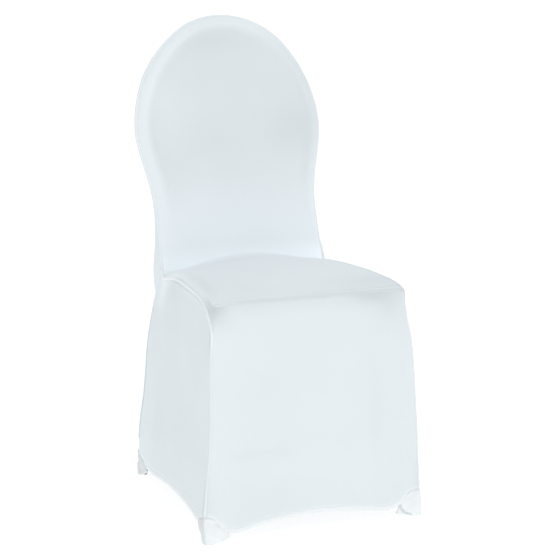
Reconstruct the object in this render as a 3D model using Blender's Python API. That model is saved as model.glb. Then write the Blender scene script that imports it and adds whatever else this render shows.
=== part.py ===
# Stretch chair cover, in the shape that it takes over a round-backed banquet chair.
# Metres, +Z up. The front faces -Y and the origin lies on the floor under the cover's middle.
import math
from collections import namedtuple

import bpy
from mathutils import Vector

for leftover in list(bpy.data.objects):
    bpy.data.objects.remove(leftover)

# Cloth
PANEL_CLOTH = 0.0015
POCKET_CLOTH = 0.002
SEAM_GAP = 0.0004
POCKET_GAP = 0.0008

# Places are measured from midway between the front feet. The cover then moves onto its own middle.
MIDDLE_ACROSS = 0.0044
MIDDLE_DEPTH = 0.2758

# Front and seat
SEAT_EDGE_HEIGHT = 0.4568
SEAT_EDGE_DEPTH = 0.0272
CORNER_RADIUS = 0.009
FRONT_BOW = 0.004
CORNER_SEAM_ANGLE = math.radians(45)
CORNER_PIECE_RUN = 0.10
CORNER_PIECE_DROP = 0.06
CORNER_PIECE_PULL = (0.014, 0.010)
CORNER_FAN = (0.56, 0.44)
SEAT_DOME_POWER = 1.5

# Back, a padded oval board that leans away from the seat
BACK_FOOT_DEPTH = 0.3785
BACK_FOOT_HEIGHT = 0.4383
BACK_LEAN = math.radians(14.65)
BACK_LENGTH = 0.5338
BACK_WIDEST_AT = 0.2843
BACK_WIDEST_PLACE = 0.43
BACK_HALF_WIDTH = 0.2015
BACK_RIM = 0.0218
FACE_HOLLOW = 0.006
HOLLOW_AT = 0.27
HOLLOW_HALF_WIDTH = 0.17
HOLLOW_HALF_HEIGHT = 0.22
COVE_REACH = 0.014
COVE_START = 0.018

# Rear of the skirt
REAR_FOOT_DEPTH = 0.4454
REAR_BRIDGE = 0.004
REAR_SLACK = 0.010
RAIL_HEIGHT = 0.365
REAR_CORNER_RADIUS = 0.015
REAR_SEAM_ANGLE = math.radians(60)

# Hems and foot pockets
HEM_RISE = 0.035
HEM_END_HEIGHT = 0.0132
HEM_ARCH_POWER = 2.3
POCKET_TIP_AT = 0.167
POCKET_SHOULDER_AT = 0.207
POCKET_HEIGHT = 0.050
POCKET_SIDE_REACH = 0.035
REAR_POCKET_REACH = 0.095
POCKET_TIP_HEIGHT = 0.006
SIDE_HEM_FRONT = 0.0386
SIDE_HEM_REAR = 0.0276
SIDE_HEM_ARCH = 0.016
SOLE_SIZE = 0.021
SOLE_ROUND = 0.003
SOLE_NOTCH = 0.12
TURN_IN = 0.004
HEM_POINT_ROOM = 0.002

# Half widths of the skirt at each height, on its two sides in front and at the rear
SkirtRow = namedtuple("SkirtRow", "height front_left front_right rear")
SKIRT = (
    SkirtRow(0.000, 0.2230, 0.2320, 0.2225),
    SkirtRow(0.050, 0.2201, 0.2286, 0.2200),
    SkirtRow(0.110, 0.2133, 0.2258, 0.2180),
    SkirtRow(0.200, 0.2065, 0.2195, 0.2090),
    SkirtRow(0.280, 0.2034, 0.2165, 0.2045),
    SkirtRow(0.335, 0.2025, 0.2130, 0.2000),
    SkirtRow(0.365, 0.2005, 0.2095, 0.1905),
    SkirtRow(0.410, 0.1965, 0.1991, 0.1840),
    SkirtRow(0.457, 0.1925, 0.1925, 0.1740),
)

# The seat from its front edge back: the height of its side seam, of the shoulder beside it and of the
# middle, the run of the shoulder's round, and the half width at the seam
SeatRow = namedtuple("SeatRow", "depth seam shoulder middle run half_width")
SEAT = (
    SeatRow(0.009, 0.4478, 0.4568, 0.4568, 0.009, 0.1925),
    SeatRow(0.028, 0.4510, 0.4645, 0.4650, 0.012, 0.1935),
    SeatRow(0.060, 0.4520, 0.4690, 0.4720, 0.017, 0.1925),
    SeatRow(0.110, 0.4510, 0.4715, 0.4780, 0.024, 0.1885),
    SeatRow(0.180, 0.4500, 0.4695, 0.4805, 0.030, 0.1830),
    SeatRow(0.250, 0.4470, 0.4645, 0.4780, 0.030, 0.1775),
    SeatRow(0.300, 0.4430, 0.4580, 0.4730, 0.024, 0.1745),
    SeatRow(0.350, 0.4310, 0.4380, 0.4620, 0.014, 0.1720),
)

# The back's half width at each distance up the board, below its widest place. The last row mirrors
# the one below that place, so the outline runs straight up there
BackRow = namedtuple("BackRow", "up half_width")
BACK = (
    BackRow(-0.070, 0.1860),
    BackRow(-0.025, 0.1900),
    BackRow(0.008, 0.1890),
    BackRow(0.040, 0.1855),
    BackRow(0.072, 0.1790),
    BackRow(0.105, 0.1735),
    BackRow(0.135, 0.1718),
    BackRow(0.187, 0.1785),
    BackRow(0.235, 0.1906),
    BackRow(BACK_WIDEST_AT, BACK_HALF_WIDTH),
    BackRow(2 * BACK_WIDEST_AT - 0.235, 0.1906),
)

# How far round the rim the front panel reaches, in degrees
RimRow = namedtuple("RimRow", "up reach")
RIM_SEAM = (
    RimRow(0.014, 20),
    RimRow(0.060, 43),
    RimRow(0.120, 66),
    RimRow(0.520, 66),
)

# Steps of the mesh
HALF_SHARES = (0.22, 0.43, 0.62, 0.80, 0.90, 0.955, 1)
SHARES = tuple(-share for share in reversed(HALF_SHARES)) + (0,) + HALF_SHARES
FRONT_FRACTIONS = (0, 0.14, 0.28, 0.42, 0.56, 0.70, 0.80, 0.872, 0.905, 0.94, 1)
EDGE_STEPS = 4
SEAT_DEPTHS = (0.022, 0.038, 0.058, 0.082, 0.115, 0.165, 0.220, 0.270, 0.308)
COVE_STEPS = 3
OVAL_ROWS = 10
OVAL_TURN = math.radians(48)
FRONT_WRAP = 4
REAR_WRAP = 5
REAR_FRACTIONS = (0, 0.20, 0.40, 0.60, 0.80, 1)
RAIL_STEPS = 5
POCKET_ROWS = 3
PLACE_STEP = 0.002
HEIGHT_STEP = 0.001
CREASE_ANGLE = math.radians(50)

# How fast the side panels' fit to each seam fades away from it
FRONT_SEAM_FADE = 8
REAR_SEAM_FADE = 6
TOP_SEAM_FADE = 8

PANEL_COLOUR = (0.80, 0.85, 0.88, 1)
PANEL_ROUGHNESS = 0.85
POCKET_COLOUR = (0.86, 0.90, 0.92, 1)
POCKET_ROUGHNESS = 0.75
INSIDE = Vector((0, 0.22, 0.30))
RIGHT = Vector((1, 0, 0))


def blend(a, b, t):
    return a + (b - a) * t


def ease(t):
    t = min(max(t, 0), 1)
    return t * t * (3 - 2 * t)


def read(table, at, column):
    """The column's value at a place between the table's rows, on a smooth curve through them."""
    places = [row[0] for row in table]
    values = [getattr(row, column) for row in table]
    last = len(table) - 1
    at = min(max(at, places[0]), places[last])
    i = max(k for k in range(last) if places[k] <= at)

    def slope(k):
        low, high = max(k - 1, 0), min(k + 1, last)
        return (values[high] - values[low]) / (places[high] - places[low])

    span = places[i + 1] - places[i]
    t = (at - places[i]) / span
    return (
        (2 * t**3 - 3 * t**2 + 1) * values[i]
        + (t**3 - 2 * t**2 + t) * span * slope(i)
        + (3 * t**2 - 2 * t**3) * values[i + 1]
        + (t**3 - t**2) * span * slope(i + 1)
    )


# Main surfaces


def front_depth(height):
    return SEAT_EDGE_DEPTH * height / SEAT_EDGE_HEIGHT


def rear_depth(height, slack=0):
    """The rear line: up from the feet, then along the leaning back, with the hollow between bridged."""
    lean = math.tan(BACK_LEAN)
    back_depth = BACK_FOOT_DEPTH + 2 * BACK_RIM * math.cos(BACK_LEAN)
    back_height = BACK_FOOT_HEIGHT - 2 * BACK_RIM * math.sin(BACK_LEAN)
    legs = REAR_FOOT_DEPTH + (back_depth - REAR_FOOT_DEPTH) * height / back_height
    board = back_depth + (height - back_height) * lean
    bridge = REAR_BRIDGE + slack
    return (legs + board) / 2 + math.hypot((legs - board) / 2, bridge)


def skirt_width(side, depth, height):
    """Half width of the skirt at a depth behind its front face."""
    column = "front_left" if side < 0 else "front_right"
    whole = rear_depth(height) - front_depth(height)
    return blend(read(SKIRT, height, column), read(SKIRT, height, "rear"), min(depth / whole, 1))


def board_point(across, up, behind=0):
    """A place on the leaning board: across and up its face, and behind the face."""
    sine, cosine = math.sin(BACK_LEAN), math.cos(BACK_LEAN)
    depth = BACK_FOOT_DEPTH + up * sine + behind * cosine
    return Vector((across, depth, BACK_FOOT_HEIGHT + up * cosine - behind * sine))


FRONT_NORMAL = Vector((0, -math.cos(BACK_LEAN), math.sin(BACK_LEAN)))


# The oval's outline


def oval_edge(place):
    """The board's outline: place 0 at the cove, 1 at the top. Gives (across, up)."""
    if place <= BACK_WIDEST_PLACE:
        up = blend(COVE_REACH, BACK_WIDEST_AT, place / BACK_WIDEST_PLACE)
        return Vector((read(BACK, up, "half_width"), up))
    angle = (place - BACK_WIDEST_PLACE) / (1 - BACK_WIDEST_PLACE) * math.pi / 2
    cap = BACK_LENGTH - BACK_WIDEST_AT
    return Vector((BACK_HALF_WIDTH * math.cos(angle), BACK_WIDEST_AT + cap * math.sin(angle)))


def oval_station(place, side):
    """The rim's inner line and the way out from it, at a place on one side."""
    after, before = oval_edge(min(place + PLACE_STEP, 1)), oval_edge(max(place - PLACE_STEP, 0))
    along = (after - before).normalized()
    out = Vector((along.y, -along.x))
    if place >= 1:
        out = Vector((0, 1))
    inner = oval_edge(place) - out * BACK_RIM
    return Vector((side * inner.x, inner.y)), Vector((side * out.x, out.y))


def oval_ring():
    """The rim's stations up the left side, over the top and down the right side."""
    turn = 1 - (1 - BACK_WIDEST_PLACE) * (1 - OVAL_TURN / (math.pi / 2))
    left = [oval_station(turn * j / OVAL_ROWS, -1) for j in range(OVAL_ROWS)]
    top = [oval_station(1 - (1 - turn) * abs(share), -1 if share < 0 else 1) for share in SHARES]
    right = [oval_station(turn * j / OVAL_ROWS, 1) for j in reversed(range(OVAL_ROWS))]
    return left, top, right


def oval_rows(bottom):
    """Rows of (across, up) that fill the outline inside the rim, over a given bottom row."""
    left, top, right = oval_ring()
    left = [place for place, _ in left] + [top[0][0]]
    right = [top[-1][0]] + [place for place, _ in right]
    right.reverse()
    top = [place for place, _ in top]
    rows = []
    for j in range(OVAL_ROWS + 1):
        v = j / OVAL_ROWS
        row = []
        for i, share in enumerate(SHARES):
            u = (share + 1) / 2
            sides = left[j] * (1 - u) + right[j] * u
            ends = bottom[i] * (1 - v) + top[i] * v
            low = bottom[0] * (1 - u) + bottom[-1] * u
            high = top[0] * (1 - u) + top[-1] * u
            row.append(sides + ends - (low * (1 - v) + high * v))
        rows.append(row)
    return rows


def rim_out(out):
    """The way out from the rim, from the board's plane to space."""
    return Vector((out.x, out.y * math.sin(BACK_LEAN), out.y * math.cos(BACK_LEAN)))


# Cloth that turns round an edge: from a start, out and down by a run and a drop, then on to a seam

Turn = namedtuple("Turn", "start out normal run drop angle onward")


def turn_end(turn, angle):
    start = turn.start + turn.out * turn.run * math.sin(angle)
    return start - turn.normal * turn.drop * (1 - math.cos(angle))


def turn_points(turn, steps):
    """Points from an edge's start to its seam, and the cloth's normal there."""
    quarter = (turn.run + turn.drop) / 2
    curved = quarter * turn.angle
    length = curved + turn.onward.length
    points = []
    for k in range(1, steps + 1):
        along = length * k / steps
        point = turn_end(turn, min(along / quarter, turn.angle))
        if along > curved and turn.onward.length > 0:
            point += turn.onward * (along - curved) / turn.onward.length
        points.append(point)
    normal = turn.out * turn.drop * math.sin(turn.angle) + turn.normal * turn.run * math.cos(turn.angle)
    return points, normal.normalized()


# The front panel wraps the seat's front corner: its seam leaves the seat's side and curves down to
# the skirt's corner


def side_place(side, depth, height):
    """A place on the skirt's side, on the corner's round where that is near."""
    width = skirt_width(side, depth, height)
    if depth < CORNER_RADIUS:
        width -= CORNER_RADIUS * (1 - math.sqrt(1 - (1 - depth / CORNER_RADIUS) ** 2))
    return Vector((side * width, front_depth(height) + depth, height))


def corner_seam(t):
    """(depth, drop) on the seam's curve: 0 on the seat's side, 1 on the skirt's corner."""
    end = CORNER_RADIUS * (1 - math.cos(CORNER_SEAM_ANGLE))
    start_drop = SEAT_EDGE_HEIGHT - read(SEAT, CORNER_PIECE_RUN, "seam")
    points = ((CORNER_PIECE_RUN, start_drop), CORNER_PIECE_PULL, (end, CORNER_PIECE_DROP))
    weights = ((1 - t) ** 2, 2 * t * (1 - t), t**2)
    return tuple(sum(w * p[axis] for w, p in zip(weights, points)) for axis in (0, 1))


def turn_to_corner_seam(side, turn, t):
    depth, drop = corner_seam(t)
    target = side_place(side, depth, SEAT_EDGE_HEIGHT - drop)
    angle = turn.angle
    if depth < CORNER_RADIUS:
        angle = math.acos(1 - depth / CORNER_RADIUS)
    return turn._replace(angle=angle, onward=target - turn_end(turn, angle))


def front_turn(side, start):
    """The turn round the skirt's front corner."""
    quarter = math.pi / 2
    turn = Turn(start, RIGHT * side, Vector((0, -1, 0)), CORNER_RADIUS, CORNER_RADIUS, quarter, Vector())
    drop = SEAT_EDGE_HEIGHT - start.z
    if drop >= CORNER_PIECE_DROP:
        return turn._replace(angle=CORNER_SEAM_ANGLE)
    share = (drop - CORNER_RADIUS) / (CORNER_PIECE_DROP - CORNER_RADIUS)
    return turn_to_corner_seam(side, turn, blend(CORNER_FAN[0], 1, share))


def edge_turn(side, start, share):
    """The turn at the seat's front corner, as the cloth rises from the front to the top."""
    lift = share * math.pi / 2
    normal = Vector((0, -math.cos(lift), math.sin(lift)))
    turn = Turn(start, RIGHT * side, normal, CORNER_RADIUS, CORNER_RADIUS, math.pi / 2, Vector())
    return turn_to_corner_seam(side, turn, blend(CORNER_FAN[0], CORNER_FAN[1], share))


def seat_turn(side, start, depth):
    """The turn over the seat's shoulder."""
    run = read(SEAT, depth, "run")
    drop = read(SEAT, depth, "shoulder") - read(SEAT, depth, "seam")
    turn = Turn(start, RIGHT * side, Vector((0, 0, 1)), run, drop, math.pi / 2, Vector())
    if depth >= CORNER_PIECE_RUN:
        return turn
    share = (CORNER_PIECE_RUN - depth) / (CORNER_PIECE_RUN - CORNER_RADIUS)
    return turn_to_corner_seam(side, turn, CORNER_FAN[1] * share)


# Hems


def end_hem(across):
    """Height of the front or rear hem at a distance from the middle."""
    across = abs(across)
    if across < POCKET_TIP_AT:
        return HEM_RISE - (HEM_RISE - HEM_END_HEIGHT) * (across / POCKET_TIP_AT) ** HEM_ARCH_POWER
    share = (across - POCKET_TIP_AT) / (POCKET_SHOULDER_AT - POCKET_TIP_AT)
    return blend(HEM_END_HEIGHT, POCKET_HEIGHT, ease(share))


def side_hem(depth, whole):
    """Height of the side hem at a depth behind the front face."""
    if depth < POCKET_SIDE_REACH:
        return blend(POCKET_HEIGHT, SIDE_HEM_FRONT, depth / POCKET_SIDE_REACH)
    rear_reach = whole - REAR_POCKET_REACH
    if depth > rear_reach:
        return blend(SIDE_HEM_REAR, POCKET_HEIGHT, (depth - rear_reach) / REAR_POCKET_REACH)
    share = (depth - POCKET_SIDE_REACH) / (rear_reach - POCKET_SIDE_REACH)
    return blend(SIDE_HEM_FRONT, SIDE_HEM_REAR, share) + SIDE_HEM_ARCH * 4 * share * (1 - share)


# Sheets of cloth


Station = namedtuple("Station", "point normal along")


class Sheet:
    """Points and faces of the outer side, with the normals that a seam shares between its panels."""

    def __init__(self):
        self.points = []
        self.faces = []
        self.seam_normals = {}
        self.seam_pulls = {}

    def add(self, point):
        self.points.append(Vector(point))
        return len(self.points) - 1

    def rows(self, grid):
        for low, high in zip(grid, grid[1:]):
            for i in range(len(low) - 1):
                self.faces.append((low[i], low[i + 1], high[i + 1], high[i]))

    def seam(self, index, neighbour, station):
        """Marks a point on a seam, which is drawn back square to the seam's line."""
        self.seam_normals[index] = station.normal
        inward = self.points[neighbour] - self.points[index]
        across = station.along.cross(station.normal).normalized()
        self.seam_pulls[index] = across if across.dot(inward) > 0 else -across

    def outer_points(self, gap):
        points = [point.copy() for point in self.points]
        for index, pull in self.seam_pulls.items():
            points[index] += pull * gap / 2
        return points

    def outer_normals(self, points):
        normals = [Vector() for _ in points]
        for face in self.faces:
            first, second, third, fourth = (points[i] for i in face)
            area = (third - first).cross(fourth - second)
            for i in face:
                normals[i] += area
        facing = sum(n.dot(p - INSIDE) for n, p in zip(normals, points))
        if facing < 0:
            self.faces = [tuple(reversed(face)) for face in self.faces]
            normals = [-n for n in normals]
        return [self.seam_normals.get(i, n).normalized() for i, n in enumerate(normals)]

    def build(self, name, thickness, material, gap=SEAM_GAP):
        """Closes the sheet with an inner side and a rim, as one object."""
        outer = self.outer_points(gap)
        normals = self.outer_normals(outer)
        inner = [point - normal * thickness for point, normal in zip(outer, normals)]
        count = len(outer)
        faces = list(self.faces)
        faces += [tuple(i + count for i in reversed(face)) for face in self.faces]
        edges = {pair for face in self.faces for pair in zip(face, face[1:] + face[:1])}
        for first, second in sorted(edges):
            if (second, first) not in edges:
                faces.append((second, first, first + count, second + count))
        middle = Vector((-MIDDLE_ACROSS, -MIDDLE_DEPTH, 0))
        mesh = bpy.data.meshes.new(name)
        mesh.from_pydata([point + middle for point in outer + inner], [], faces)
        mesh.shade_smooth()
        mesh.set_sharp_from_angle(angle=CREASE_ANGLE)
        mesh.materials.append(material)
        placed = bpy.data.objects.new(name, mesh)
        bpy.context.scene.collection.objects.link(placed)


# The front panel


def seat_inset(depth):
    return read(SEAT, depth, "half_width") - read(SEAT, depth, "run")


def seat_point(share, depth):
    """A place on the seat between its shoulders: share -1 to 1 across, at a depth behind the edge."""
    height = blend(read(SEAT, depth, "shoulder"), read(SEAT, depth, "middle"), (1 - share**2) ** SEAT_DOME_POWER)
    return Vector((share * seat_inset(depth), SEAT_EDGE_DEPTH + depth, height))


def cove(share):
    """The curve from the seat to the back at one share across, and how far up the board it ends."""
    foot = seat_point(share, SEAT[-1].depth)
    foot.y = BACK_FOOT_DEPTH + (foot.z - BACK_FOOT_HEIGHT) * math.tan(BACK_LEAN)
    before = seat_point(share, SEAT_DEPTHS[-1])
    start = foot + (before - foot).normalized() * COVE_START
    up = (foot.z - BACK_FOOT_HEIGHT) / math.cos(BACK_LEAN) + COVE_REACH
    end = board_point(share * (oval_edge(0).x - BACK_RIM), up)
    steps = [k / COVE_STEPS for k in range(COVE_STEPS)]
    return [start * (1 - t) ** 2 + foot * 2 * t * (1 - t) + end * t**2 for t in steps], up


def front_rows():
    """Rows across the flat of the front panel below the back, each with its left and right turn."""
    rows = []
    top = SEAT_EDGE_HEIGHT - CORNER_RADIUS
    for fraction in FRONT_FRACTIONS:
        row = []
        for share in SHARES:
            side = -1 if share < 0 else 1
            width = skirt_width(side, 0, blend(POCKET_HEIGHT, top, fraction)) - CORNER_RADIUS
            height = blend(end_hem(share * width), top, fraction)
            bow = FRONT_BOW * (1 - share**2) * math.sin(math.pi / 2 * (1 - fraction)) ** 2
            row.append(Vector((share * width, front_depth(height) + bow, height)))
        rows.append((row, front_turn(-1, row[0]), front_turn(1, row[-1])))
    width = SKIRT[-1].front_left - CORNER_RADIUS
    for k in range(1, EDGE_STEPS + 1):
        lift = k / EDGE_STEPS * math.pi / 2
        depth = SEAT_EDGE_DEPTH + CORNER_RADIUS * (1 - math.cos(lift))
        height = top + CORNER_RADIUS * math.sin(lift)
        row = [Vector((share * width, depth, height)) for share in SHARES]
        rows.append((row, edge_turn(-1, row[0], k / EDGE_STEPS), edge_turn(1, row[-1], k / EDGE_STEPS)))
    for depth in SEAT_DEPTHS:
        row = [seat_point(share, depth) for share in SHARES]
        rows.append((row, seat_turn(-1, row[0], depth), seat_turn(1, row[-1], depth)))
    return rows


def cove_rows(coves, last):
    """Rows in the curve between the seat and the back, whose turns change from the seat's to the rim's."""
    rows = []
    for k in range(COVE_STEPS):
        t = (k + 1) / (COVE_STEPS + 1)
        row = [curve[k] for curve, _ in coves]
        normal = Vector((0, 0, 1)).slerp(FRONT_NORMAL, k / COVE_STEPS)
        angle = blend(math.pi / 2, math.radians(RIM_SEAM[0].reach), t)
        run, drop = blend(last.run, BACK_RIM, t), blend(last.drop, BACK_RIM, t)
        right = Turn(row[-1], RIGHT, normal, run, drop, angle, Vector())
        rows.append((row, right._replace(start=row[0], out=-RIGHT), right))
    return rows


def rim_turn(station, behind):
    """The turn round the board's rim up to the seam, from its face or from behind."""
    place, out = station
    reach = math.radians(read(RIM_SEAM, place.y, "reach"))
    start = board_point(place.x, place.y, 2 * BACK_RIM if behind else 0)
    if behind:
        return Turn(start, rim_out(out), -FRONT_NORMAL, BACK_RIM, BACK_RIM, math.pi - reach, Vector())
    return Turn(start, rim_out(out), FRONT_NORMAL, BACK_RIM, BACK_RIM, reach, Vector())


def add_wrap(sheet, ring, steps):
    """The band of cloth that turns over the edges along a ring of (index, turn)."""
    lines = []
    normals = []
    for index, turn in ring:
        points, normal = turn_points(turn, steps)
        slip = sheet.points[index] - turn.start
        points = [point + slip * (1 - (k + 1) / steps) ** 2 for k, point in enumerate(points)]
        lines.append([index] + [sheet.add(point) for point in points])
        normals.append(normal)
    sheet.rows([line[::-1] for line in lines])
    ends = [sheet.points[line[-1]] for line in lines]
    stations = []
    for k, (line, normal) in enumerate(zip(lines, normals)):
        along = ends[min(k + 1, len(ends) - 1)] - ends[max(k - 1, 0)]
        stations.append(Station(ends[k], normal, along))
        sheet.seam(line[-1], line[-2], stations[-1])
    return lines, stations


Edges = namedtuple("Edges", "left right hem")


def add_grid(sheet, rows, oval, behind, steps):
    """The panel's flat grid and the band round it: rows below the back, then the oval.
    Gives the seam's stations on each side from the hem to the foot of the back, and the hem's points."""
    grid = [[sheet.add(point) for point in row] for row, _, _ in rows]
    oval_grid = [[sheet.add(point) for point in row] for row in oval]
    sheet.rows(grid + oval_grid)
    left, top, right = oval_ring()
    ring = [(line[0], turn) for line, (_, turn, _) in zip(grid, rows)]
    ring += [(line[0], rim_turn(s, behind)) for line, s in zip(oval_grid, left)]
    ring += [(index, rim_turn(s, behind)) for index, s in zip(oval_grid[-1], top)]
    ring += [(line[-1], rim_turn(s, behind)) for line, s in zip(oval_grid[-2::-1], right)]
    ring += [(line[-1], turn) for line, (_, _, turn) in zip(grid[::-1], rows[::-1])]
    lines, seam = add_wrap(sheet, ring, steps)
    hem = lines[0][::-1] + grid[0][1:-1] + lines[-1]
    count = len(rows) + 1
    return Edges(seam[:count], seam[: -count - 1 : -1], [sheet.points[index] for index in hem])


def face_hollow(place):
    """How far the cloth lies behind the board's plane on the back's dished face."""
    off = (place.x / HOLLOW_HALF_WIDTH) ** 2 + ((place.y - HOLLOW_AT) / HOLLOW_HALF_HEIGHT) ** 2
    return FACE_HOLLOW * max(1 - off, 0) ** 2


def front_panel(cloth):
    sheet = Sheet()
    rows = front_rows()
    coves = [cove(share) for share in SHARES]
    rows += cove_rows(coves, rows[-1][1])
    reach = oval_edge(0).x - BACK_RIM
    bottom = [Vector((share * reach, up)) for share, (_, up) in zip(SHARES, coves)]
    oval = [[board_point(p.x, p.y, face_hollow(p)) for p in row] for row in oval_rows(bottom)]
    edges = add_grid(sheet, rows, oval, False, FRONT_WRAP)
    sheet.build("front_panel", PANEL_CLOTH, cloth)
    return edges


# The rear panel


def rear_point(across, height, half_width):
    """A place on the rear, where the cloth bridges the bend between the skirt and the back."""
    share = min(abs(across / half_width), 1)
    return Vector((across, rear_depth(height, REAR_SLACK * (1 - share**2)), height))


def rear_turn(side, start, share, width):
    """The turn round the rear corner: share 0 up to the rail's height, 1 at the foot of the back."""
    slope = (rear_depth(start.z + HEIGHT_STEP) - rear_depth(start.z - HEIGHT_STEP)) / (2 * HEIGHT_STEP)
    normal = Vector((0, 1, -slope)).normalized()
    radius = blend(REAR_CORNER_RADIUS, BACK_RIM, share)
    angle = blend(REAR_SEAM_ANGLE, math.pi - math.radians(RIM_SEAM[0].reach), share)
    base = Vector((side * (width - radius), start.y, start.z))
    return Turn(base, RIGHT * side, normal, radius, radius, angle, Vector())


def rear_row(height_at, share, width):
    half = width - blend(REAR_CORNER_RADIUS, BACK_RIM, share)
    row = [rear_point(place * half, height_at(place * half), half) for place in SHARES]
    return row, rear_turn(-1, row[0], share, width), rear_turn(1, row[-1], share, width)


def rear_panel(cloth):
    sheet = Sheet()
    rows = []
    for fraction in REAR_FRACTIONS:
        width = read(SKIRT, blend(POCKET_HEIGHT, RAIL_HEIGHT, fraction), "rear")
        rows.append(rear_row(lambda across: blend(end_hem(across), RAIL_HEIGHT, fraction), 0, width))
    foot = board_point(0, COVE_REACH, 2 * BACK_RIM)
    for k in range(1, RAIL_STEPS):
        height = blend(RAIL_HEIGHT, foot.z, k / RAIL_STEPS)
        width = read(BACK, COVE_REACH + (height - foot.z) / math.cos(BACK_LEAN), "half_width")
        rows.append(rear_row(lambda across: height, k / RAIL_STEPS, width))
    reach = oval_edge(0).x - BACK_RIM
    oval = []
    for row in oval_rows([Vector((share * reach, COVE_REACH)) for share in SHARES]):
        heights = [board_point(0, place.y, 2 * BACK_RIM).z for place in row]
        half = row[-1].x
        oval.append([rear_point(place.x, height, half) for place, height in zip(row, heights)])
    edges = add_grid(sheet, rows, oval, True, REAR_WRAP)
    sheet.build("rear_panel", PANEL_CLOTH, cloth)
    return edges


# The side panels


def flat_place(station):
    """(depth, height) of a seam's station on the skirt's side."""
    point = station.point
    return Vector((point.y - front_depth(point.z), point.z))


def side_panel(name, side, front_seam, rear_seam, cloth):
    """Fills the side between the seams to the front and rear panels and the hem. Gives its hem's points."""
    turn = len(rear_seam) - 1
    front, top = front_seam[: turn + 1], front_seam[turn:]
    across = [flat_place(station) for station in top]
    shares = [(place.x - across[0].x) / (across[-1].x - across[0].x) for place in across]
    low_start, low_end = flat_place(front[0]), flat_place(rear_seam[0])
    whole = rear_depth(0) - front_depth(0)
    depths = [blend(low_start.x, low_end.x, share) for share in shares]
    hem = [Vector((depth, side_hem(depth, whole))) for depth in depths]
    hem[0], hem[-1] = low_start, low_end
    sheet = Sheet()
    grid = []
    for j in range(turn + 1):
        v = j / turn
        start, end = flat_place(front[j]), flat_place(rear_seam[j])
        line = []
        for i, u in enumerate(shares):
            flat = start * (1 - u) + end * u + hem[i] * (1 - v) + across[i] * v
            flat -= (low_start * (1 - u) + low_end * u) * (1 - v)
            flat -= (across[0] * (1 - u) + across[-1] * u) * v
            point = side_place(side, max(flat.x, 0), flat.y)
            fits = (
                (front[j], (1 - u) ** FRONT_SEAM_FADE),
                (rear_seam[j], u**REAR_SEAM_FADE),
                (top[i], v**TOP_SEAM_FADE),
            )
            for station, weight in fits:
                place = flat_place(station)
                miss = station.point.x - side_place(side, max(place.x, 0), place.y).x
                point.x += miss * weight
            line.append(sheet.add(point))
        grid.append(line)
    for j, line in enumerate(grid):
        ends = ((front[j], line[0], line[1]), (rear_seam[j], line[-1], line[-2]))
        for station, index, neighbour in ends:
            sheet.points[index] = station.point.copy()
            sheet.seam(index, neighbour, station)
    for i in range(1, len(top) - 1):
        sheet.points[grid[-1][i]] = top[i].point.copy()
        sheet.seam(grid[-1][i], grid[-2][i], top[i])
    corner = grid[-1][-1]
    sheet.seam_pulls[corner] = (sheet.points[grid[-2][-2]] - sheet.points[corner]).normalized()
    sheet.rows(grid)
    sheet.build(name, PANEL_CLOTH, cloth)
    return [sheet.points[index] for index in grid[0]]


# The foot pockets


def corner_hem(side, rear, end_line, side_line):
    """The hem's points round one corner, from the pocket's tip on the end to its tip on the side."""
    points = sorted((p for p in end_line if p.x * side >= POCKET_TIP_AT - HEM_POINT_ROOM), key=lambda p: p.x * side)
    if rear:
        return points + [p for p in side_line[-2::-1] if p.y > REAR_FOOT_DEPTH - REAR_POCKET_REACH]
    return points + [p for p in side_line[1:] if p.y < POCKET_SIDE_REACH]


def foot_pocket(name, side, rear, end_line, side_line, material):
    """A pocket round one corner of the skirt's foot, with a flat sole turned in under it."""
    hem = corner_hem(side, rear, end_line, side_line)
    plan = []
    for point in hem:
        depth = point.y - front_depth(point.z)
        wide = skirt_width(side, depth, point.z) - abs(point.x)
        plan.append(Vector((wide, rear_depth(point.z) - point.y if rear else depth)))
    reach = [max(place) for place in plan]
    inner = Vector((SOLE_SIZE, SOLE_SIZE))

    def placed(place, height):
        depth = rear_depth(height) - place.y if rear else front_depth(height) + place.y
        width = skirt_width(side, depth - front_depth(height), height)
        return Vector((side * (width - place.x), depth, height))

    sheet = Sheet()
    grid = []
    for i, (point, place) in enumerate(zip(hem, plan)):
        tip = -1 if place.y > place.x else 0
        low = 0
        if reach[i] > SOLE_SIZE + SOLE_ROUND:
            share = (reach[i] - SOLE_SIZE) / (reach[tip] - SOLE_SIZE)
            low = share * (hem[tip].z - POCKET_GAP - POCKET_TIP_HEIGHT)
        along = plan[min(i + 1, len(plan) - 1)] - plan[max(i - 1, 0)]
        inward = Vector((along.y, -along.x)).normalized()
        if inward.dot(inner - place) < 0:
            inward = -inward
        top = point.z - POCKET_GAP
        foot = low + SOLE_ROUND
        line = [sheet.add(placed(place, blend(top, foot, k / POCKET_ROWS))) for k in range(POCKET_ROWS + 1)]
        for angle in (math.pi / 4, math.pi / 2):
            turned = place + inward * SOLE_ROUND * (1 - math.cos(angle))
            line.append(sheet.add(placed(turned, foot - SOLE_ROUND * math.sin(angle))))
        target = inner + (place - inner) * SOLE_NOTCH if low == 0 else place + inward * TURN_IN
        line.append(sheet.add(placed(target, low)))
        grid.append(line)
    sheet.rows(grid)
    sheet.build(name, POCKET_CLOTH, material)


# The cover


def fabric(name, colour, roughness):
    material = bpy.data.materials.new(name)
    material.use_nodes = True
    shader = material.node_tree.nodes["Principled BSDF"]
    shader.inputs["Base Color"].default_value = colour
    shader.inputs["Roughness"].default_value = roughness
    return material


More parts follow.
